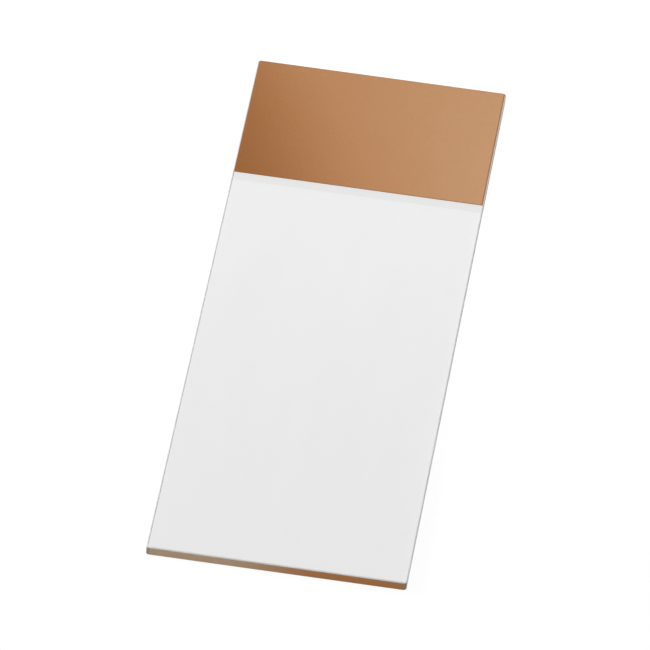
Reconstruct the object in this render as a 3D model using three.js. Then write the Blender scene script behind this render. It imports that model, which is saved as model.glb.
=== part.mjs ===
// Microscope slide with a coloured writing end.
//
// One plate of clear glass with ground edges: a narrow 45 degree arris runs round both polished
// faces and follows the rounded corners. A thin tan coat is cured on the top face at one end, to
// be written on. It stops just short of the arris, and a straight line across the slide parts it
// from the clear glass that carries the specimen.
//
// Millimetres, +Z up. The slide lies flat with its length along Y and the coated end at +Y. The
// origin is the middle of the face that it rests on.

import * as THREE from "three";

// Glass plate
const slideLength = 75;
const slideWidth = 25;
const slideThickness = 1;
const cornerRadius = 0.3; // of the outline, seen from above
const arris = 0.1; // width and height of the ground 45 degree edge

// Coat
const coatLength = 17.9; // from the end of the glass to the coat line
const coatThickness = 0.03;
const coatMargin = 0.04; // bare glass left between the coat and the arris
const coatTaper = 0.04; // how far the edge of the coat slopes in over its thickness

// Facets
const arcSteps = 8; // along each rounded corner

// Places that follow from the sizes above
const endY = slideLength / 2;
const sideX = slideWidth / 2;
const coatLineY = endY - coatLength;
const coatInset = arris + coatMargin;

const glass = new THREE.MeshStandardMaterial({
  name: "clear_glass",
  color: 0xe9edeb,
  roughness: 0.03,
  metalness: 0,
  transparent: true,
  opacity: 0.35,
});

const coat = new THREE.MeshStandardMaterial({
  name: "tan_coat",
  color: 0xb8865a,
  roughness: 0.55,
  metalness: 0,
});

/** Points of a quarter circle, counter-clockwise from the start angle. */
function quarterTurn(centreX, centreY, radius, startAngle) {
  const endAngle = startAngle + Math.PI / 2;
  const curve = new THREE.EllipseCurve(centreX, centreY, radius, radius, startAngle, endAngle);
  return curve.getPoints(arcSteps);
}

/**
 * Rounded rectangle in two arrays, counter-clockwise: its near half, from the left side to the
 * right, and its far half, from the right side to the left. An inset moves every side in by the
 * same amount, and the corners stay concentric.
 */
function roundedHalves({ halfWidth, nearY, farY, radius }, inset) {
  const innerRadius = radius - inset;
  const left = -halfWidth + radius;
  const right = halfWidth - radius;
  const near = nearY + radius;
  const far = farY - radius;
  const nearHalf = [
    ...quarterTurn(left, near, innerRadius, Math.PI),
    ...quarterTurn(right, near, innerRadius, 1.5 * Math.PI),
  ];
  const farHalf = [
    ...quarterTurn(right, far, innerRadius, 0),
    ...quarterTurn(left, far, innerRadius, 0.5 * Math.PI),
  ];
  return [nearHalf, farHalf];
}

/**
 * Closed solid through rings of points of equal length, listed from the bottom up, each
 * counter-clockwise at its own height. Each field lists the points of a ring that bound one
 * part of the end faces, and the fields cover the ring between them.
 */
function loft(rings, fields) {
  const count = rings[0].points.length;
  const positions = rings.flatMap(({ points, z }) => points.flatMap(({ x, y }) => [x, y, z]));
  const faces = [];

  for (let level = 0; level < rings.length - 1; level++) {
    for (let i = 0; i < count; i++) {
      const lower = level * count + i;
      const lowerNext = level * count + ((i + 1) % count);
      const upper = lower + count;
      const upperNext = lowerNext + count;
      faces.push(lower, lowerNext, upperNext);
      faces.push(lower, upperNext, upper);
    }
  }

  const topStart = (rings.length - 1) * count;
  const topPoints = rings.at(-1).points;
  for (const field of fields) {
    const contour = field.map((i) => topPoints[i]);
    for (const triangle of THREE.ShapeUtils.triangulateShape(contour, [])) {
      const [a, b, c] = triangle.map((i) => field[i]);
      faces.push(topStart + a, topStart + b, topStart + c);
      faces.push(c, b, a);
    }
  }

  const geometry = new THREE.BufferGeometry();
  geometry.setAttribute("position", new THREE.Float32BufferAttribute(positions, 3));
  geometry.setIndex(faces);
  const faceted = geometry.toNonIndexed();
  faceted.computeVertexNormals();
  return faceted;
}

/**
 * The glass: four rings make the lower arris, the upright edge and the upper arris. Each ring has
 * a point on both sides at the coat line, so each polished face is a clear field and a field that
 * the coat lies on.
 */
function glassPlate() {
  const outline = { halfWidth: sideX, nearY: -endY, farY: endY, radius: cornerRadius };
  const ring = (inset, z) => {
    const [nearHalf, farHalf] = roundedHalves(outline, inset);
    const rightMark = new THREE.Vector2(sideX - inset, coatLineY);
    const leftMark = new THREE.Vector2(-sideX + inset, coatLineY);
    return { points: [...nearHalf, rightMark, ...farHalf, leftMark], z };
  };
  const rings = [
    ring(arris, 0),
    ring(0, arris),
    ring(0, slideThickness - arris),
    ring(arris, slideThickness),
  ];

  const halfCount = 2 * (arcSteps + 1);
  const rightIndex = halfCount;
  const leftIndex = 2 * halfCount + 1;
  const nearIndices = Array.from({ length: halfCount }, (_, i) => i);
  const farIndices = nearIndices.map((i) => rightIndex + 1 + i);
  const clearField = [leftIndex, ...nearIndices, rightIndex];
  const coatedField = [rightIndex, ...farIndices, leftIndex];
  return new THREE.Mesh(loft(rings, [clearField, coatedField]), glass);
}

/** The coat: a film on the polished top face, inside the arris, with a sloping edge. */
function labelCoat() {
  const outline = {
    halfWidth: sideX - coatInset,
    nearY: coatLineY,
    farY: endY - coatInset,
    radius: cornerRadius - coatInset,
  };
  const ring = (inset, z) => ({ points: roundedHalves(outline, inset).flat(), z });
  const rings = [ring(0, slideThickness), ring(coatTaper, slideThickness + coatThickness)];
  const wholeField = rings[0].points.map((_, i) => i);
  return new THREE.Mesh(loft(rings, [wholeField]), coat);
}

const slide = new THREE.Group();
slide.name = "microscope_slide";

const plate = glassPlate();
plate.name = "glass_plate";
slide.add(plate);

const label = labelCoat();
label.name = "label_coat";
slide.add(label);

export default slide;
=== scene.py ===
"""Looks of a microscope slide with a tan writing end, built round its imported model.

The slide lies flat on a pale floor under soft studio light. Lengths are in metres unless a name
says otherwise, and angles are in degrees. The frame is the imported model's own: +Y towards the
coated end, +Z up.
"""

import logging
import math
from collections.abc import Mapping, Sequence
from dataclasses import dataclass
from enum import Enum
from typing import Any

import bmesh
import bpy
from mathutils import Matrix, Vector


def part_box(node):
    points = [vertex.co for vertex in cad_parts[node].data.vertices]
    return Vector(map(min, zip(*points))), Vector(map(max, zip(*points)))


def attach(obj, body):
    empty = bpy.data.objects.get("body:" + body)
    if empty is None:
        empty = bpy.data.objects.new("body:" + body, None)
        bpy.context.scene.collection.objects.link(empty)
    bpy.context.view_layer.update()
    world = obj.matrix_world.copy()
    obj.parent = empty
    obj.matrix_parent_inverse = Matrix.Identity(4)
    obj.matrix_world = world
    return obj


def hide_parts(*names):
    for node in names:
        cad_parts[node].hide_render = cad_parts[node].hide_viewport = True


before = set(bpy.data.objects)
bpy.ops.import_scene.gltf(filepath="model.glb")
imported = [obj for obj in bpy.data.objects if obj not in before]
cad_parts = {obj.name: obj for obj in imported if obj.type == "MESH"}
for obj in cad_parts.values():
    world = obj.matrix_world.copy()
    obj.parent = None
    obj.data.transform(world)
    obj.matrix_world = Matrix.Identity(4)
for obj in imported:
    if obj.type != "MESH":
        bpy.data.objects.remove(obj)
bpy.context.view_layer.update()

log = logging.getLogger("slide")

Triple = tuple[float, float, float]
Colour = Triple
Span = tuple[float, float]

MM = 0.001
BODY = "root"
WHITE: Colour = (1.0, 1.0, 1.0)
GLASS_IOR = 1.52


class Node(Enum):
    """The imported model's nodes."""

    PLATE = "glass_plate"
    COAT = "label_coat"


class Slot(Enum):
    """The record's material slots."""

    CLEAR_GLASS = "clear_glass"
    TAN_COAT = "tan_coat"


class Ray(Enum):
    """Kinds of ray, by their Light Path outputs."""

    CAMERA = "Is Camera Ray"
    SHADOW = "Is Shadow Ray"
    DIFFUSE = "Is Diffuse Ray"
    GLOSSY = "Is Glossy Ray"
    TRANSMISSION = "Is Transmission Ray"


# ---------------------------------------------------------------------------------------------
# Node trees
# ---------------------------------------------------------------------------------------------


class Graph:
    """A shader or geometry node tree that is being built."""

    def __init__(self, tree: bpy.types.NodeTree) -> None:
        """Starts with the nodes that the tree already has.

        Args:
            tree: The tree that the nodes go into.
        """
        self.tree = tree

    def add(
        self,
        kind: str,
        settings: Mapping[str, Any] | None = None,
        inputs: Mapping[str | int, Any] | None = None,
    ) -> bpy.types.Node:
        """Adds one node.

        Args:
            kind: The node's type name.
            settings: Its properties by name, set before its sockets.
            inputs: A value or a link for each socket, by name, identifier or number.

        Returns:
            The new node.
        """
        node = self.tree.nodes.new(kind)
        for name, setting in (settings or {}).items():
            setattr(node, name, setting)
        for key, source in (inputs or {}).items():
            self.feed(self.find(node.inputs, key), source)
        return node

    def feed(self, socket: bpy.types.NodeSocket, source: Any) -> None:
        """Links a socket to a source, or gives it a plain value.

        Args:
            socket: The input socket.
            source: A Value, an output socket or a plain value.
        """
        if isinstance(source, Value):
            source = source.socket
        if isinstance(source, bpy.types.NodeSocket):
            self.tree.links.new(source, socket)
            return
        if socket.type == "RGBA" and len(source) == 3:
            source = (*source, 1.0)
        socket.default_value = source

    @staticmethod
    def find(sockets: Sequence[bpy.types.NodeSocket], key: str | int) -> bpy.types.NodeSocket:
        """Finds a socket.

        Args:
            sockets: A node's inputs or outputs.
            key: The socket's identifier, name or number.

        Returns:
            The socket.
        """
        if isinstance(key, int):
            return sockets[key]
        by_identifier = {socket.identifier: socket for socket in sockets}
        return by_identifier[key] if key in by_identifier else sockets[key]

    def value(self, node: bpy.types.Node, key: str | int = 0) -> "Value":
        """Wraps an output so that Python's operators work on it.

        Args:
            node: The node.
            key: The output's identifier, name or number.

        Returns:
            The wrapped output.
        """
        return Value(self, self.find(node.outputs, key))

    def mix(self, factor: Any, first: Any, second: Any) -> bpy.types.NodeSocket:
        """Mixes two colours.

        Args:
            factor: The share of the second colour.
            first: A colour or a link.
            second: A colour or a link.

        Returns:
            The mixed colour's socket.
        """
        inputs = {"Factor_Float": factor, "A_Color": first, "B_Color": second}
        node = self.add("ShaderNodeMix", {"data_type": "RGBA"}, inputs)
        return self.find(node.outputs, "Result_Color")

    def vector(self, x: Any, y: Any, z: Any) -> bpy.types.NodeSocket:
        """Joins three numbers or links into a vector."""
        return self.add("ShaderNodeCombineXYZ", None, {"X": x, "Y": y, "Z": z}).outputs[0]

    def split(self, vector: Any) -> tuple["Value", "Value", "Value"]:
        """Splits a vector into X, Y and Z."""
        node = self.add("ShaderNodeSeparateXYZ", None, {0: vector})
        return self.value(node, 0), self.value(node, 1), self.value(node, 2)


class Value:
    """A number socket. Python's operators on it add Math nodes."""

    def __init__(self, graph: Graph, socket: bpy.types.NodeSocket) -> None:
        """Wraps a socket.

        Args:
            graph: The tree that its Math nodes go into.
            socket: The output that holds the number.
        """
        self.graph = graph
        self.socket = socket

    def maths(self, operation: str, *operands: "Value | float") -> "Value":
        """Adds a Math node.

        Args:
            operation: The node's operation.
            operands: Its inputs, in order.

        Returns:
            The result.
        """
        inputs = dict(enumerate(operands))
        return self.graph.value(self.graph.add("ShaderNodeMath", {"operation": operation}, inputs))

    def __add__(self, other: "Value | float") -> "Value":
        """self + other."""
        return self.maths("ADD", self, other)

    def __radd__(self, other: float) -> "Value":
        """other + self."""
        return self.maths("ADD", other, self)

    def __sub__(self, other: "Value | float") -> "Value":
        """self - other."""
        return self.maths("SUBTRACT", self, other)

    def __rsub__(self, other: float) -> "Value":
        """other - self."""
        return self.maths("SUBTRACT", other, self)

    def __mul__(self, other: "Value | float") -> "Value":
        """self * other."""
        return self.maths("MULTIPLY", self, other)

    def __rmul__(self, other: float) -> "Value":
        """other * self."""
        return self.maths("MULTIPLY", other, self)

    def __truediv__(self, other: "Value | float") -> "Value":
        """self / other."""
        return self.maths("DIVIDE", self, other)

    def __rtruediv__(self, other: float) -> "Value":
        """other / self."""
        return self.maths("DIVIDE", other, self)

    def __neg__(self) -> "Value":
        """-self."""
        return self.maths("MULTIPLY", self, -1.0)

    def __abs__(self) -> "Value":
        """abs(self)."""
        return self.maths("ABSOLUTE", self)

    def least(self, other: "Value | float") -> "Value":
        """The smaller of the two."""
        return self.maths("MINIMUM", self, other)

    def above(self, other: "Value | float") -> "Value":
        """1 where self is greater, else 0."""
        return self.maths("GREATER_THAN", self, other)

    def below(self, other: "Value | float") -> "Value":
        """1 where self is smaller, else 0."""
        return self.maths("LESS_THAN", self, other)

    def ramp(self, start: "Value | float", end: "Value | float") -> "Value":
        """Rises smoothly from 0 at start to 1 at end.

        Args:
            start: Where the rise begins.
            end: Where it ends, which may be below start.

        Returns:
            The share, from 0 to 1.
        """
        settings = {"interpolation_type": "SMOOTHSTEP"}
        inputs = {"Value": self, "From Min": start, "From Max": end}
        return self.graph.value(self.graph.add("ShaderNodeMapRange", settings, inputs), "Result")


# ---------------------------------------------------------------------------------------------
# Patterns and light that several finishes share
# ---------------------------------------------------------------------------------------------


@dataclass(frozen=True)
class Noise:
    """A noise pattern over a piece, from 0 to 1.

    There are per_mm lumps in a millimetre, with this many octaves of detail. A place is
    multiplied by stretch along X, Y and Z before the pattern is read.
    """

    per_mm: float
    detail: float
    stretch: Triple | None = None

    MIDDLE = 0.5

    def draw(self, graph: Graph, place: Any) -> Value:
        """Adds the pattern.

        Args:
            graph: The material's tree.
            place: Where it is read, in millimetres.

        Returns:
            The pattern, mostly near MIDDLE.
        """
        if self.stretch is not None:
            multiply = {"operation": "MULTIPLY"}
            operands = {0: place, 1: self.stretch}
            place = graph.add("ShaderNodeVectorMath", multiply, operands).outputs[0]
        inputs = {"Vector": place, "Scale": self.per_mm, "Detail": self.detail}
        return graph.value(graph.add("ShaderNodeTexNoise", None, inputs), "Fac")


@dataclass(frozen=True)
class Relief:
    """A fine relief: the share of it that shows, and how deep it is."""

    strength: float
    depth: float

    def bump(self, graph: Graph, height: Value) -> bpy.types.NodeSocket:
        """Turns a height from 0 to 1 into the normal's socket."""
        inputs = {"Strength": self.strength, "Distance": self.depth, "Height": height}
        return graph.add("ShaderNodeBump", None, inputs).outputs[0]


def grey(level: float) -> Colour:
    """A grey of this level."""
    return (level, level, level)


def principled(graph: Graph, inputs: Mapping[str, Any]) -> bpy.types.NodeSocket:
    """Adds the Principled shader with a value or a link for each named socket."""
    return graph.add("ShaderNodeBsdfPrincipled", None, inputs).outputs[0]


def let_through(graph: Graph, shader: Any, tint: Colour, *rays: Ray) -> bpy.types.NodeSocket:
    """Lets some kinds of ray go straight through a surface, to light what lies under it.

    Args:
        graph: The material's tree.
        shader: The shader that all other rays meet.
        tint: How much of each colour gets through.
        rays: The kinds of ray that go through.

    Returns:
        The shader's socket.
    """
    path = graph.add("ShaderNodeLightPath")
    for ray in rays:
        clear = graph.add("ShaderNodeBsdfTransparent", None, {"Color": tint})
        inputs = {0: path.outputs[ray.value], 1: shader, 2: clear.outputs[0]}
        shader = graph.add("ShaderNodeMixShader", None, inputs).outputs[0]
    return shader


def background_rays(graph: Graph) -> Value:
    """Finds the rays that meet the background as white.

    They are the camera's own, and those that reach it by way of gloss or glass.

    Args:
        graph: The material's or the world's tree.

    Returns:
        1 for those rays, else 0.
    """
    path = graph.add("ShaderNodeLightPath")
    camera = graph.value(path, Ray.CAMERA.value)
    glossy = graph.value(path, Ray.GLOSSY.value)
    transmission = graph.value(path, Ray.TRANSMISSION.value)
    return (camera + glossy + transmission).least(1.0)


# ---------------------------------------------------------------------------------------------
# Finishes
# ---------------------------------------------------------------------------------------------


@dataclass(frozen=True)
class Finish:
    """A material whose surface is drawn by shade()."""

    name: str

    def make(self) -> bpy.types.Material:
        """Makes the material.

        Returns:
            The finished material.
        """
        material = bpy.data.materials.new(self.name)
        material.use_nodes = True
        material.node_tree.nodes.clear()
        graph = Graph(material.node_tree)
        graph.add("ShaderNodeOutputMaterial", None, {"Surface": self.shade(graph)})
        return material

    def shade(self, graph: Graph) -> bpy.types.NodeSocket:
        """Draws the surface.

        Args:
            graph: The material's tree.

        Returns:
            The shader's socket.
        """
        raise NotImplementedError

    @staticmethod
    def place_mm(graph: Graph) -> tuple[bpy.types.NodeSocket, Value, Value, Value]:
        """Reads the place on the piece, in millimetres.

        Args:
            graph: The material's tree.

        Returns:
            The place as a vector, and its X, Y and Z.
        """
        place = graph.add("ShaderNodeTexCoord").outputs["Object"]
        operands = {0: place, "Scale": 1.0 / MM}
        scaled = graph.add("ShaderNodeVectorMath", {"operation": "SCALE"}, operands).outputs[0]
        return scaled, *graph.split(scaled)


@dataclass(frozen=True)
class PolishedGlass(Finish):
    """Clear soda-lime glass with a polished face, a little darker in streaks where it was wiped.

    The light for what lies under it goes straight through, cut by face_clearness.
    """

    # The grey tint is partly the glass's own and partly painted shade, which darkens what shows
    # through the glass.
    tint: Colour = (0.892, 0.894, 0.893)
    wiped_tint: Colour = (0.881, 0.883, 0.882)
    face_clearness: Colour = (0.68, 0.685, 0.68)
    streaks: Noise = Noise(per_mm=0.5, detail=3.0, stretch=(0.6, 0.12, 1.0))
    streak_span: Span = (0.35, 0.65)

    def shade(self, graph: Graph) -> bpy.types.NodeSocket:
        """Draws the face.

        Args:
            graph: The material's tree.

        Returns:
            The shader's socket.
        """
        place, _, _, _ = self.place_mm(graph)
        streaks = self.streaks.draw(graph, place).ramp(*self.streak_span)
        inputs = {
            "Base Color": graph.mix(streaks, self.tint, self.wiped_tint),
            "Roughness": 0.0,
            "IOR": GLASS_IOR,
            "Transmission Weight": 1.0,
        }
        glass = principled(graph, inputs)
        return let_through(graph, glass, self.face_clearness, Ray.SHADOW, Ray.DIFFUSE)


@dataclass(frozen=True)
class GroundEdge(Finish):
    """A ground edge of the glass: satin, with the fine lines that the wheel leaves along it."""

    grain: Noise = Noise(per_mm=1.5, detail=3.0, stretch=(1.0, 1.0, 12.0))
    lines: Noise = Noise(per_mm=3.0, detail=4.0, stretch=(0.5, 0.5, 9.0))
    line_relief: Relief = Relief(strength=0.35, depth=0.02 * MM)
    dull: Colour = (0.30, 0.28, 0.25)
    dull_span: Span = (0.35, 0.65)
    dull_share: float = 0.15
    roughness: float = 0.32
    grain_roughness: float = 0.15
    clearness_to_lamps: Colour = (0.8, 0.79, 0.78)

    def shade(self, graph: Graph) -> bpy.types.NodeSocket:
        """Draws the edge.

        Args:
            graph: The material's tree.

        Returns:
            The shader's socket.
        """
        place, x, y, _ = self.place_mm(graph)
        grain = self.grain.draw(graph, place)
        dulled = grain.ramp(*self.dull_span) * self.dull_share
        inputs = {
            "Base Color": graph.mix(dulled, self.colour(graph, x, y), self.dull),
            "Roughness": self.roughness + grain * self.grain_roughness,
            "Normal": self.line_relief.bump(graph, self.lines.draw(graph, place)),
            **self.gloss(),
        }
        return let_through(graph, principled(graph, inputs), self.clearness_to_lamps, Ray.SHADOW)

    def colour(self, graph: Graph, x: Value, y: Value) -> bpy.types.NodeSocket:
        """Draws the colour under the grain.

        Args:
            graph: The material's tree.
            x: The place across the slide, in millimetres.
            y: The place along it, in millimetres.

        Returns:
            The colour's socket.
        """
        raise NotImplementedError

    def gloss(self) -> dict[str, float]:
        """The shader's even values, by socket."""
        raise NotImplementedError


@dataclass(frozen=True)
class GroundSide(GroundEdge):
    """The upright edge along the slide: grey glass, with painted tan light where it meets the
    coat, led through the glass from the coat.
    """

    coat_line_mm: float = 0.0
    clear: Colour = (0.82, 0.84, 0.83)
    painted_coat_light: Colour = (0.46, 0.25, 0.12)
    fade_mm: float = 0.4
    clearness: float = 0.45

    def colour(self, graph: Graph, x: Value, y: Value) -> bpy.types.NodeSocket:
        """Draws grey glass that fades into painted tan light, led from the coat, just before the
        coat line.

        Args:
            graph: The material's tree.
            x: The place across the slide, in millimetres; not used here.
            y: The place along it, in millimetres.

        Returns:
            The colour's socket.
        """
        coat_light_share = y.ramp(self.coat_line_mm - self.fade_mm, self.coat_line_mm)
        return graph.mix(coat_light_share, self.clear, self.painted_coat_light)

    def gloss(self) -> dict[str, float]:
        """Glass that lets some light in."""
        return {"IOR": GLASS_IOR, "Transmission Weight": self.clearness}


@dataclass(frozen=True)
class GroundArris(GroundSide):
    """The narrow bevels along both faces, which look paler than the sides. Beside the coat their
    tan is painted light, led through the glass from the coat.
    """

    clear: Colour = (0.95, 0.96, 0.955)
    painted_coat_light: Colour = (0.9, 0.84, 0.78)
    clearness: float = 0.3


@dataclass(frozen=True)
class PipedLightEnd(GroundEdge):
    """The upright edge at the clear end, where the glass leads the coat's light out. Its tan is
    painted light, led from the coat, and not the glass's own colour.

    The painted colour changes from left to right over change_span, in half widths from the
    middle, and turns greyer over corner_span_mm in from each corner.
    """

    side_mm: float = 0.0
    left: Colour = (0.649, 0.453, 0.3)
    right: Colour = (0.565, 0.23, 0.073)
    corner: Colour = (0.335, 0.293, 0.251)
    change_span: Span = (-0.5, 0.4)
    corner_span_mm: Span = (0.45, 0.15)
    dull: Colour = (0.30, 0.22, 0.15)
    roughness: float = 0.42
    grain_roughness: float = 0.2
    specular_level: float = 0.3

    def colour(self, graph: Graph, x: Value, y: Value) -> bpy.types.NodeSocket:
        """Draws painted tan light, led from the coat, that gets stronger from left to right and is
        greyer at the corners.

        Args:
            graph: The material's tree.
            x: The place across the slide, in millimetres.
            y: The place along it, in millimetres; not used here.

        Returns:
            The colour's socket.
        """
        start, end = (self.side_mm * share for share in self.change_span)
        colour = graph.mix(x.ramp(start, end), self.left, self.right)
        start, end = (self.side_mm - inset for inset in self.corner_span_mm)
        return graph.mix(abs(x).ramp(start, end), colour, self.corner)

    def gloss(self) -> dict[str, float]:
        """A dull sheen."""
        return {"Specular IOR Level": self.specular_level}


@dataclass(frozen=True)
class CoatFilm(Finish):
    """Either side of the coat, which shades what lies under it only faintly."""

    clearness_to_lamps: Colour = (0.96, 0.95, 0.94)


@dataclass(frozen=True)
class CuredCoat(CoatFilm):
    """The coat's face: satin tan, with a fine tooth to take pencil, clouds of density and painted
    light.

    It is darker at the near left and paler towards the far right, over a span counted from -1 at
    one corner to 1 at the other: painted shade and light like the window lamp's gradient across
    the coat, with random clouds of density on top. Its rim darkens over rim_span_mm, in from its
    edge.
    """

    near_mm: float = 0.0
    far_mm: float = 0.0
    side_mm: float = 0.0
    tan: Colour = (0.426, 0.18, 0.065)
    shaded_tan: Colour = (0.41, 0.153, 0.044)
    paling_span: Span = (-0.55, 0.55)
    clouds: Noise = Noise(per_mm=0.16, detail=2.0)
    cloud_share: float = 0.5
    rim_tan: Colour = (0.34, 0.16, 0.07)
    rim_span_mm: Span = (0.14, 0.02)
    rim_share: float = 0.4
    tooth: Noise = Noise(per_mm=5.5, detail=2.0)
    tooth_height: float = 0.6
    tooth_roughness: float = 0.1
    grit: Noise = Noise(per_mm=14.0, detail=1.0)
    grit_height: float = 0.4
    grit_tan: Colour = (0.66, 0.37, 0.18)
    grit_span: Span = (0.35, 0.7)
    grit_share: float = 0.12
    relief: Relief = Relief(strength=0.3, depth=0.01 * MM)
    roughness: float = 0.27
    specular_level: float = 0.0765
    specular_tint: Colour = (1.0, 1.0, 0.55)

    def shade(self, graph: Graph) -> bpy.types.NodeSocket:
        """Draws the coat's face.

        Args:
            graph: The material's tree.

        Returns:
            The shader's socket.
        """
        place, x, y, _ = self.place_mm(graph)
        middle_mm = (self.near_mm + self.far_mm) / 2
        half_length_mm = (self.far_mm - self.near_mm) / 2
        # Painted shade and light: the tan is darker at the near left and paler towards the far
        # right, like the lamp's gradient across the coat
        corner_to_corner = (x / self.side_mm + (y - middle_mm) / half_length_mm) / 2.0
        clouds = (self.clouds.draw(graph, place) - Noise.MIDDLE) * self.cloud_share
        paler_share = (corner_to_corner + clouds).ramp(*self.paling_span)
        colour = graph.mix(paler_share, self.shaded_tan, self.tan)

        to_side = self.side_mm - abs(x)
        to_end = (y - self.near_mm).least(self.far_mm - y)
        rim = to_side.least(to_end).ramp(*self.rim_span_mm)
        colour = graph.mix(rim * self.rim_share, colour, self.rim_tan)

        tooth = self.tooth.draw(graph, place)
        grit = self.grit.draw(graph, place)
        colour = graph.mix(grit.ramp(*self.grit_span) * self.grit_share, colour, self.grit_tan)
        height = tooth * self.tooth_height + grit * self.grit_height
        inputs = {
            "Base Color": colour,
            "Roughness": self.roughness + tooth * self.tooth_roughness,
            "Specular IOR Level": self.specular_level,
            "Specular Tint": self.specular_tint,
            "Normal": self.relief.bump(graph, height),
        }
        return let_through(graph, principled(graph, inputs), self.clearness_to_lamps, Ray.SHADOW)


@dataclass(frozen=True)
class CoatUnderside(CoatFilm):
    """The coat where it wets the glass, as it looks through the glass."""

    tan: Colour = (0.41, 0.175, 0.063)
    thin_tan: Colour = (0.45, 0.2, 0.078)
    clouds: Noise = Noise(per_mm=0.3, detail=3.0)
    cloud_span: Span = (0.3, 0.7)
    roughness: float = 0.6

    def shade(self, graph: Graph) -> bpy.types.NodeSocket:
        """Draws the underside.

        Args:
            graph: The material's tree.

        Returns:
            The shader's socket.
        """
        place, _, _, _ = self.place_mm(graph)
        paler_share = self.clouds.draw(graph, place).ramp(*self.cloud_span)
        colour = graph.mix(paler_share, self.tan, self.thin_tan)
        shader = principled(graph, {"Base Color": colour, "Roughness": self.roughness})
        return let_through(graph, shader, self.clearness_to_lamps, Ray.SHADOW)


@dataclass(frozen=True)
class PaleFloor(Finish):
    """A matte floor that keeps shadows and comes out white where nothing shades it.

    The rays that meet the background as white get its lift added, which rises from near_lift
    to far_lift between -reach_mm and reach_mm along Y. The lower lift towards the near end is
    painted shade, which darkens the glass there.
    """

    paint: float = 0.33
    near_lift: float = 0.775
    far_lift: float = 0.855
    reach_mm: float = 0.0

    def shade(self, graph: Graph) -> bpy.types.NodeSocket:
        """Draws the floor.

        Args:
            graph: The material's tree.

        Returns:
            The shader's socket.
        """
        matte = graph.add("ShaderNodeBsdfDiffuse", None, {"Color": grey(self.paint)}).outputs[0]
        _, _, y, _ = self.place_mm(graph)
        far_share = y.ramp(-self.reach_mm, self.reach_mm)
        lift = graph.mix(far_share, grey(self.near_lift), grey(self.far_lift))
        glow = graph.add("ShaderNodeEmission", None, {"Color": lift}).outputs[0]
        lifted = graph.add("ShaderNodeAddShader", None, {0: matte, 1: glow}).outputs[0]
        inputs = {0: background_rays(graph), 1: matte, 2: lifted}
        return graph.add("ShaderNodeMixShader", None, inputs).outputs[0]


# ---------------------------------------------------------------------------------------------
# Swept solids
# ---------------------------------------------------------------------------------------------

WELD_DISTANCE = 0.0001 * MM
LEVEL_TOLERANCE = 0.001 * MM
FACES_AT_CLOSED_EDGE = 2

SOCKET_KINDS = {
    float: "NodeSocketFloat",
    int: "NodeSocketInt",
    bpy.types.Material: "NodeSocketMaterial",
}


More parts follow.
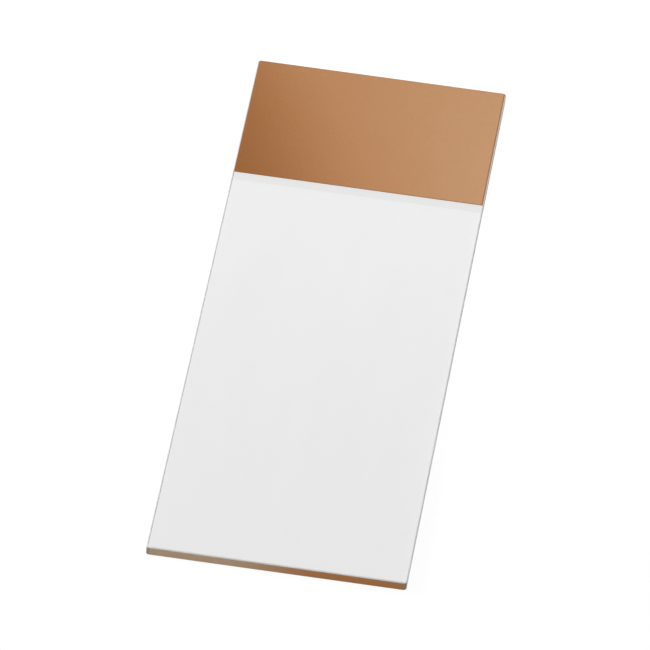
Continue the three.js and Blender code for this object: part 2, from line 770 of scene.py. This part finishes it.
class SweptSolid:
    """A Geometry Nodes tree that sweeps an edge profile round a flat plan and closes it.

    Base Height, Corner Steps, Softness and Softness Steps are always among its inputs.
    """

    def __init__(self, name: str, inputs: Mapping[str, float | int | bpy.types.Material]) -> None:
        """Starts the tree with its inputs.

        Args:
            name: The tree's name.
            inputs: The value of each named input.
        """
        self.inputs = inputs
        self.identifiers: dict[str, str] = {}
        tree = bpy.data.node_groups.new(name, "GeometryNodeTree")
        tree.is_modifier = True
        for title, value in inputs.items():
            kind = SOCKET_KINDS[type(value)]
            socket = tree.interface.new_socket(name=title, in_out="INPUT", socket_type=kind)
            self.identifiers[title] = socket.identifier
        tree.interface.new_socket(name="Solid", in_out="OUTPUT", socket_type="NodeSocketGeometry")
        self.graph = Graph(tree)
        self.entry = self.graph.add("NodeGroupInput")

    def __getitem__(self, title: str) -> Value:
        """The named input as a value."""
        return self.graph.value(self.entry, self.identifiers[title])

    def four_points(self, points: Sequence[tuple[Any, Any]]) -> bpy.types.NodeSocket:
        """Draws a closed curve through four points.

        Args:
            points: The X and Y of each.

        Returns:
            The curve's socket.
        """
        inputs = {
            f"Point {number}": self.graph.vector(x, y, 0.0)
            for number, (x, y) in enumerate(points, start=1)
        }
        kind = "GeometryNodeCurvePrimitiveQuadrilateral"
        return self.graph.add(kind, {"mode": "POINTS"}, inputs).outputs[0]

    def rounded(self, curve: Any, steps: Value, radius: Value) -> bpy.types.NodeSocket:
        """Rounds a curve's corners.

        Args:
            curve: The curve's socket.
            steps: The points on each corner's arc.
            radius: How far each corner is rounded.

        Returns:
            The rounded curve's socket.
        """
        inputs = {"Curve": curve, "Count": steps, "Radius": radius}
        return self.graph.add("GeometryNodeFilletCurve", {"mode": "POLY"}, inputs).outputs[0]

    def fill(self, outline: Any, z: Any) -> bpy.types.NodeSocket:
        """Fills a closed curve with one face that looks up.

        Args:
            outline: The curve's socket.
            z: The face's height.

        Returns:
            The face's geometry socket.
        """
        filled = self.graph.add("GeometryNodeFillCurve", {"mode": "NGONS"}, {0: outline})
        inputs = {"Geometry": filled.outputs[0], "Offset": self.graph.vector(0.0, 0.0, z)}
        return self.graph.add("GeometryNodeSetPosition", None, inputs).outputs[0]

    def field(
        self, corners: Sequence[tuple[Any, Any]], z: Any, radius: Value
    ) -> bpy.types.NodeSocket:
        """Fills one four-sided field of the plan.

        Args:
            corners: The X and Y of its corners, counter-clockwise.
            z: Its height.
            radius: How far each corner is rounded.

        Returns:
            The field's geometry socket.
        """
        outline = self.rounded(self.four_points(corners), self["Corner Steps"], radius)
        return self.fill(outline, z)

    def shaded(self, mesh: Any, smooth: bool) -> bpy.types.NodeSocket:
        """Sets whether a mesh is shaded smooth."""
        inputs = {0: mesh, "Shade Smooth": smooth}
        return self.graph.add("GeometryNodeSetShadeSmooth", None, inputs).outputs[0]

    def weld(self, *parts: Any) -> bpy.types.NodeSocket:
        """Joins geometry and merges the points that coincide.

        Args:
            parts: Geometry sockets.

        Returns:
            The welded geometry's socket.
        """
        joined = self.graph.add("GeometryNodeJoinGeometry")
        # The newest link joins first
        for part in reversed(parts):
            self.graph.tree.links.new(part, joined.inputs[0])
        inputs = {"Geometry": joined.outputs[0], "Distance": WELD_DISTANCE}
        return self.graph.add("GeometryNodeMergeByDistance", None, inputs).outputs[0]

    def rim_path(self, mesh: Any, selection: Value | None = None) -> bpy.types.NodeSocket:
        """Turns a mesh's open edges into a curve.

        Args:
            mesh: A geometry socket.
            selection: Which of the open edges count, or None for all.

        Returns:
            The curve's socket.
        """
        graph = self.graph
        neighbours = graph.value(graph.add("GeometryNodeInputMeshEdgeNeighbors"))
        chosen = neighbours.below(FACES_AT_CLOSED_EDGE)
        if selection is not None:
            chosen = chosen * selection
        inputs = {"Mesh": mesh, "Selection": chosen}
        return graph.add("GeometryNodeMeshToCurve", None, inputs).outputs[0]

    def anticlockwise(self, path: Any) -> bpy.types.NodeSocket:
        """Turns a closed symmetrical path to run counter-clockwise, seen from above.

        Args:
            path: The curve's socket.

        Returns:
            The turned curve's socket.
        """
        graph = self.graph
        place = graph.add("GeometryNodeInputPosition").outputs[0]
        tangent = graph.add("GeometryNodeInputTangent").outputs[0]
        cross = {"operation": "CROSS_PRODUCT"}
        turn = graph.add("ShaderNodeVectorMath", cross, {0: place, 1: tangent}).outputs[0]
        _, _, turn_up = graph.split(turn)
        inputs = {"Geometry": path, "Attribute": turn_up}
        statistic = graph.add("GeometryNodeAttributeStatistic", {"domain": "POINT"}, inputs)
        clockwise = graph.value(statistic, "Mean").below(0.0)
        inputs = {"Curve": path, "Selection": clockwise}
        return graph.add("GeometryNodeReverseCurve", None, inputs).outputs[0]

    def sweep(self, plan: Any, profile: Sequence[tuple[Any, Any]]) -> bpy.types.NodeSocket:
        """Sweeps a profile round the plan and closes the solid underneath.

        Args:
            plan: The top face's geometry.
            profile: Four points, outwards and up from the plan's edge.

        Returns:
            The closed solid's socket.
        """
        graph = self.graph
        path = self.anticlockwise(self.rim_path(plan))
        upright = graph.add("GeometryNodeSetCurveNormal", {"mode": "Z_UP"}, {"Curve": path})
        shape = self.four_points([(out, -up) for out, up in profile])
        opened = graph.add("GeometryNodeSetSplineCyclic", None, {0: shape, "Cyclic": False})
        softened = self.rounded(opened.outputs[0], self["Softness Steps"], self["Softness"])
        inputs = {"Curve": upright.outputs[0], "Profile Curve": softened}
        rim = graph.add("GeometryNodeCurveToMesh", None, inputs).outputs[0]

        _, _, height = graph.split(graph.add("GeometryNodeInputPosition").outputs[0])
        is_low = height.below(self["Base Height"] + LEVEL_TOLERANCE)
        base = self.fill(self.rim_path(rim, is_low), self["Base Height"])
        underside = graph.add("GeometryNodeFlipFaces", None, {"Mesh": base}).outputs[0]
        flat = (self.shaded(face, smooth=False) for face in (plan, underside))
        return self.weld(self.shaded(rim, smooth=True), *flat)

    def finish(self, solid: Any, finishes: Sequence[tuple[str, Value | bool]]) -> None:
        """Ends the tree with its materials.

        Args:
            solid: The closed solid's socket.
            finishes: The inputs that hold materials and the faces that each covers, in order.
        """
        geometry = self.graph.add("GeometryNodeRealizeInstances", None, {0: solid}).outputs[0]
        for title, faces in finishes:
            inputs = {"Geometry": geometry, "Selection": faces, "Material": self[title]}
            geometry = self.graph.add("GeometryNodeSetMaterial", None, inputs).outputs[0]
        self.graph.add("NodeGroupOutput", None, {0: geometry})

    def make(self, name: str) -> bpy.types.Object:
        """Runs the tree and keeps its result as a plain mesh.

        Args:
            name: The piece's name.

        Returns:
            The piece, at the origin, with no modifier.
        """
        blank = bpy.data.objects.new(f"{name}.blank", bpy.data.meshes.new(f"{name}.blank"))
        bpy.context.scene.collection.objects.link(blank)
        modifier = blank.modifiers.new("shape", "NODES")
        modifier.node_group = self.graph.tree
        for title, value in self.inputs.items():
            modifier[self.identifiers[title]] = value
        evaluated = blank.evaluated_get(bpy.context.evaluated_depsgraph_get())
        mesh = bpy.data.meshes.new_from_object(evaluated)
        mesh.name = name
        bpy.data.objects.remove(blank)
        # Set Material leaves an empty first slot, which no face uses
        if mesh.materials[0] is None:
            mesh.materials.pop(index=0)
        piece = bpy.data.objects.new(name, mesh)
        bpy.context.scene.collection.objects.link(piece)
        return piece


def report(piece: bpy.types.Object) -> None:
    """Logs a piece's size and says whether it is closed.

    Args:
        piece: The finished piece.
    """
    solid = bmesh.new()
    solid.from_mesh(piece.data)
    faces = len(solid.faces)
    open_edges = sum(len(edge.link_faces) != FACES_AT_CLOSED_EDGE for edge in solid.edges)
    volume_mm3 = solid.calc_volume(signed=True) / MM**3
    solid.free()
    log.info(
        "%s: %d faces, %d open edges, %.2f mm3, size %s mm, materials %s",
        piece.name,
        faces,
        open_edges,
        volume_mm3,
        ", ".join(f"{side / MM:.3f}" for side in piece.dimensions),
        [material.name for material in piece.data.materials],
    )


# ---------------------------------------------------------------------------------------------
# The slide
# ---------------------------------------------------------------------------------------------

# Flatness is how far a face's unit normal points up or down: 0 is upright and 1 is level
POLISHED_FLATNESS = 0.9999  # at least, on a polished face
SIDE_FLATNESS = 0.35  # at most, on a side
END_FLATNESS = 0.6  # at most, on the end and its softened edges

CORNERS_AT_AN_END = 2


@dataclass
class GlassPlate:
    """The glass, with polished faces and a ground edge all round."""

    low: Vector
    high: Vector
    coat_line: float
    arris: float = 0.1 * MM
    corner_radius: float = 0.3 * MM
    softness: float = 0.02 * MM
    corner_steps: int = 10
    softness_steps: int = 3

    def build(self) -> bpy.types.Object:
        """Makes the plate and puts it in the glass node's place.

        Returns:
            The piece.
        """
        size = self.high - self.low
        line_mm = self.coat_line / MM
        side_mm = self.high.x / MM
        solid = SweptSolid(
            "ground_plate",
            {
                "Width": size.x,
                "Length": size.y,
                "Thickness": size.z,
                "Base Height": self.low.z,
                "Coat Line": self.coat_line,
                "Arris": self.arris,
                "Corner Radius": self.corner_radius,
                "Corner Steps": self.corner_steps,
                "Softness": self.softness,
                "Softness Steps": self.softness_steps,
                "Polished": PolishedGlass("polished_glass").make(),
                # The arris, side and end finishes carry painted tan light, led through the glass
                # from the coat
                "Arris Finish": GroundArris("ground_arris", coat_line_mm=line_mm).make(),
                "Side Finish": GroundSide("ground_side", coat_line_mm=line_mm).make(),
                "End Finish": PipedLightEnd("piped_light_end", side_mm=side_mm).make(),
                "Under Coat": CoatUnderside("coat_underside").make(),
            },
        )
        self.shape(solid)
        plate = solid.make("slide_glass")
        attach(plate, BODY)
        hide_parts(Node.PLATE.value)
        return plate

    @staticmethod
    def shape(solid: SweptSolid) -> None:
        """Writes the plate's rule into its tree.

        Args:
            solid: The tree, with the plate's inputs.
        """
        graph = solid.graph
        arris, thickness = solid["Arris"], solid["Thickness"]
        half_length = solid["Length"] / 2.0
        side = solid["Width"] / 2.0 - arris
        end = half_length - arris
        line = solid["Coat Line"]
        top = solid["Base Height"] + thickness
        radius = solid["Corner Radius"] - arris
        # The first corners of each field are those at its near end
        index = graph.value(graph.add("GeometryNodeInputIndex"))
        is_near = index.below(CORNERS_AT_AN_END)
        clear_corners = [(-side, -end), (side, -end), (side, line), (-side, line)]
        coated_corners = [(-side, line), (side, line), (side, end), (-side, end)]
        clear = solid.field(clear_corners, top, radius * is_near)
        painted_coat_light = solid.field(coated_corners, top, radius * (1.0 - is_near))
        profile = [(0.0, 0.0), (arris, -arris), (arris, arris - thickness), (0.0, -thickness)]
        closed = solid.sweep(solid.weld(clear, painted_coat_light), profile)

        _, _, normal_z = graph.split(graph.add("GeometryNodeInputNormal").outputs["Normal"])
        _, y, _ = graph.split(graph.add("GeometryNodeInputPosition").outputs[0])
        flatness = abs(normal_z)
        is_clear_end = y.below(solid["Corner Radius"] - half_length)
        solid.finish(
            closed,
            [
                ("Polished", True),
                ("Under Coat", normal_z.above(POLISHED_FLATNESS) * y.above(line)),
                ("Arris Finish", flatness.below(POLISHED_FLATNESS)),
                ("Side Finish", flatness.below(SIDE_FLATNESS)),
                ("End Finish", is_clear_end * flatness.below(END_FLATNESS)),
            ],
        )


@dataclass
class WritingCoat:
    """The cured coat: a film with a slightly raised bead where its edge dried.

    crest_out and shoulder_out place the bead's crest and shoulder, in shares of its width
    outwards. shoulder_down is how far the shoulder lies below the film's face, as a share of the
    film's thickness.
    """

    low: Vector
    high: Vector
    corner_radius: float = 0.16 * MM
    bead_width: float = 0.1 * MM
    bead_height: float = 0.004 * MM
    crest_out: float = 0.45
    shoulder_out: float = 0.85
    shoulder_down: float = 0.4
    contact_gap: float = 0.002 * MM
    softness: float = 0.02 * MM
    corner_steps: int = 6
    softness_steps: int = 3

    def build(self) -> bpy.types.Object:
        """Makes the coat and puts it in the coat node's place.

        Returns:
            The piece.
        """
        size = self.high - self.low
        finish = CuredCoat(
            "cured_tan",
            near_mm=self.low.y / MM,
            far_mm=self.high.y / MM,
            side_mm=self.high.x / MM,
        )
        solid = SweptSolid(
            "cured_film",
            {
                "Width": size.x,
                "Near": self.low.y,
                "Far": self.high.y,
                "Base Height": self.low.z + self.contact_gap,
                "Thickness": size.z - self.contact_gap,
                "Bead Width": self.bead_width,
                "Bead Height": self.bead_height,
                "Corner Radius": self.corner_radius,
                "Corner Steps": self.corner_steps,
                "Softness": self.softness,
                "Softness Steps": self.softness_steps,
                "Coat": finish.make(),
            },
        )
        self.shape(solid)
        coat = solid.make("writing_coat")
        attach(coat, BODY)
        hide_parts(Node.COAT.value)
        return coat

    def shape(self, solid: SweptSolid) -> None:
        """Writes the film's rule into its tree.

        Args:
            solid: The tree, with the film's inputs.
        """
        bead, thickness = solid["Bead Width"], solid["Thickness"]
        side = solid["Width"] / 2.0 - bead
        near = solid["Near"] + bead
        far = solid["Far"] - bead
        top = solid["Base Height"] + thickness
        corners = [(-side, near), (side, near), (side, far), (-side, far)]
        plan = solid.field(corners, top, solid["Corner Radius"] - bead)
        profile = [
            (0.0, 0.0),
            (bead * self.crest_out, solid["Bead Height"]),
            (bead * self.shoulder_out, thickness * -self.shoulder_down),
            (bead, -thickness),
        ]
        solid.finish(solid.sweep(plan, profile), [("Coat", True)])


# ---------------------------------------------------------------------------------------------
# The studio
# ---------------------------------------------------------------------------------------------


def direction(azimuth: float, elevation: float) -> Vector:
    """The way from the slide to something round it.

    Args:
        azimuth: Degrees from -Y towards +X.
        elevation: Degrees above the floor.

    Returns:
        A unit vector.
    """
    around, up = math.radians(azimuth), math.radians(elevation)
    return Vector(
        (math.sin(around) * math.cos(up), -math.cos(around) * math.cos(up), math.sin(up))
    )


@dataclass(frozen=True)
class Broad:
    """A broad sun from one side. Gloss and clear glass show the white dome in its place."""

    name: str
    azimuth: float
    elevation: float
    spread: float
    strength: float

    def build(self) -> bpy.types.Object:
        """Makes the light.

        Returns:
            The light.
        """
        lamp = bpy.data.lights.new(self.name, "SUN")
        lamp.energy = self.strength
        lamp.angle = math.radians(self.spread)
        holder = bpy.data.objects.new(self.name, lamp)
        bpy.context.scene.collection.objects.link(holder)
        holder.visible_glossy = False
        holder.visible_transmission = False
        away = direction(self.azimuth, self.elevation)
        holder.rotation_euler = away.to_track_quat("Z", "Y").to_euler()
        return holder


@dataclass(frozen=True)
class Spot:
    """A lamp with a soft-edged beam. It points at aim, an X and a Y from its target.

    Its power is in watts, and its blend is the share of the beam that its soft edge takes.
    """

    name: str
    azimuth: float
    elevation: float
    distance: float
    radius: float
    aim: tuple[float, float]
    beam: float
    blend: float
    power: float

    def build(self, target: Vector, lit: bpy.types.Collection) -> bpy.types.Object:
        """Makes the lamp.

        Args:
            target: The place that its distance and its aim are taken from.
            lit: The pieces that it lights.

        Returns:
            The lamp.
        """
        lamp = bpy.data.lights.new(self.name, "SPOT")
        lamp.spot_size = math.radians(self.beam)
        lamp.spot_blend = self.blend
        lamp.shadow_soft_size = self.radius
        lamp.energy = self.power
        holder = bpy.data.objects.new(self.name, lamp)
        bpy.context.scene.collection.objects.link(holder)
        holder.location = target + direction(self.azimuth, self.elevation) * self.distance
        back = holder.location - target - Vector((*self.aim, 0.0))
        holder.rotation_euler = back.to_track_quat("Z", "Y").to_euler()
        holder.light_linking.receiver_collection = lit
        return holder


@dataclass
class Studio:
    """The floor, the light and the camera.

    The camera sees view_width across the place that it is aimed at.
    """

    middle: Vector
    half_length: float
    coat: bpy.types.Object
    coat_middle: Vector
    floor_side: float = 8.0
    floor_gap: float = 0.03 * MM
    dome_strength: float = 0.22
    camera_azimuth: float = 4.9
    camera_elevation: float = 40.2
    camera_roll: float = 4.7
    camera_distance: float = 1.1
    camera_aim: tuple[float, float] = (-0.38 * MM, -1.1 * MM)
    camera_clip: Span = (0.01, 50.0)
    view_width: float = 63.2 * MM
    sensor_width_mm: float = 36.0
    broad: tuple[Broad, ...] = (
        Broad("front_light", azimuth=-10.0, elevation=45.0, spread=88.0, strength=1.0),
        Broad("side_light", azimuth=95.0, elevation=25.0, spread=50.0, strength=0.5),
        Broad("far_light", azimuth=-95.0, elevation=20.0, spread=50.0, strength=1.75),
    )
    spot: Spot = Spot(
        "window_lamp",
        azimuth=178.0,
        elevation=43.0,
        distance=0.35,
        radius=0.004,
        aim=(0.1104, 0.1162),
        beam=58.9,
        blend=0.13,
        power=1.87,
    )

    def build(self) -> None:
        """Makes the whole studio."""
        self.lay_floor()
        self.light_dome()
        for light in self.broad:
            light.build()
        lit = bpy.data.collections.new("lit_by_spot")
        lit.objects.link(self.coat)
        self.spot.build(self.coat_middle, lit)
        self.place_camera()
        bpy.context.scene.view_settings.view_transform = "Standard"

    def lay_floor(self) -> None:
        """Makes the floor just under the slide."""
        half = self.floor_side / 2
        corners = [(-half, -half), (half, -half), (half, half), (-half, half)]
        mesh = bpy.data.meshes.new("floor")
        mesh.from_pydata([(x, y, -self.floor_gap) for x, y in corners], [], [(0, 1, 2, 3)])
        mesh.materials.append(PaleFloor("pale_floor", reach_mm=self.half_length / MM).make())
        floor = bpy.data.objects.new("floor", mesh)
        bpy.context.scene.collection.objects.link(floor)

    def light_dome(self) -> None:
        """Makes the even light from all round, which the camera meets as white."""
        world = bpy.data.worlds.new("dome")
        world.use_nodes = True
        world.node_tree.nodes.clear()
        graph = Graph(world.node_tree)
        strength = self.dome_strength + background_rays(graph) * (1.0 - self.dome_strength)
        inputs = {"Color": WHITE, "Strength": strength}
        dome = graph.add("ShaderNodeBackground", None, inputs).outputs[0]
        graph.add("ShaderNodeOutputWorld", None, {"Surface": dome})
        bpy.context.scene.world = world

    def place_camera(self) -> None:
        """Makes the camera, aimed at the slide."""
        data = bpy.data.cameras.new("camera")
        data.sensor_width = self.sensor_width_mm
        data.lens = self.sensor_width_mm * self.camera_distance / self.view_width
        data.clip_start, data.clip_end = self.camera_clip
        camera = bpy.data.objects.new("camera", data)
        bpy.context.scene.collection.objects.link(camera)
        away = direction(self.camera_azimuth, self.camera_elevation)
        aim = self.middle + Vector((*self.camera_aim, 0.0))
        camera.location = aim + away * self.camera_distance
        level = away.to_track_quat("Z", "Y")
        roll = Matrix.Rotation(math.radians(self.camera_roll), 3, "Z").to_quaternion()
        camera.rotation_mode = "QUATERNION"
        camera.rotation_quaternion = level @ roll
        bpy.context.scene.camera = camera


def main() -> None:
    """Builds the slide and the studio, and reports each piece."""
    logging.basicConfig(level=logging.INFO, format="%(name)s: %(message)s")
    plate_low, plate_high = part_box(Node.PLATE.value)
    coat_low, coat_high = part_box(Node.COAT.value)
    report(GlassPlate(plate_low, plate_high, coat_line=coat_low.y).build())
    coat = WritingCoat(coat_low, coat_high).build()
    report(coat)
    Studio(
        middle=(plate_low + plate_high) / 2,
        half_length=plate_high.y,
        coat=coat,
        coat_middle=(coat_low + coat_high) / 2,
    ).build()


if __name__ == "__main__":
    main()
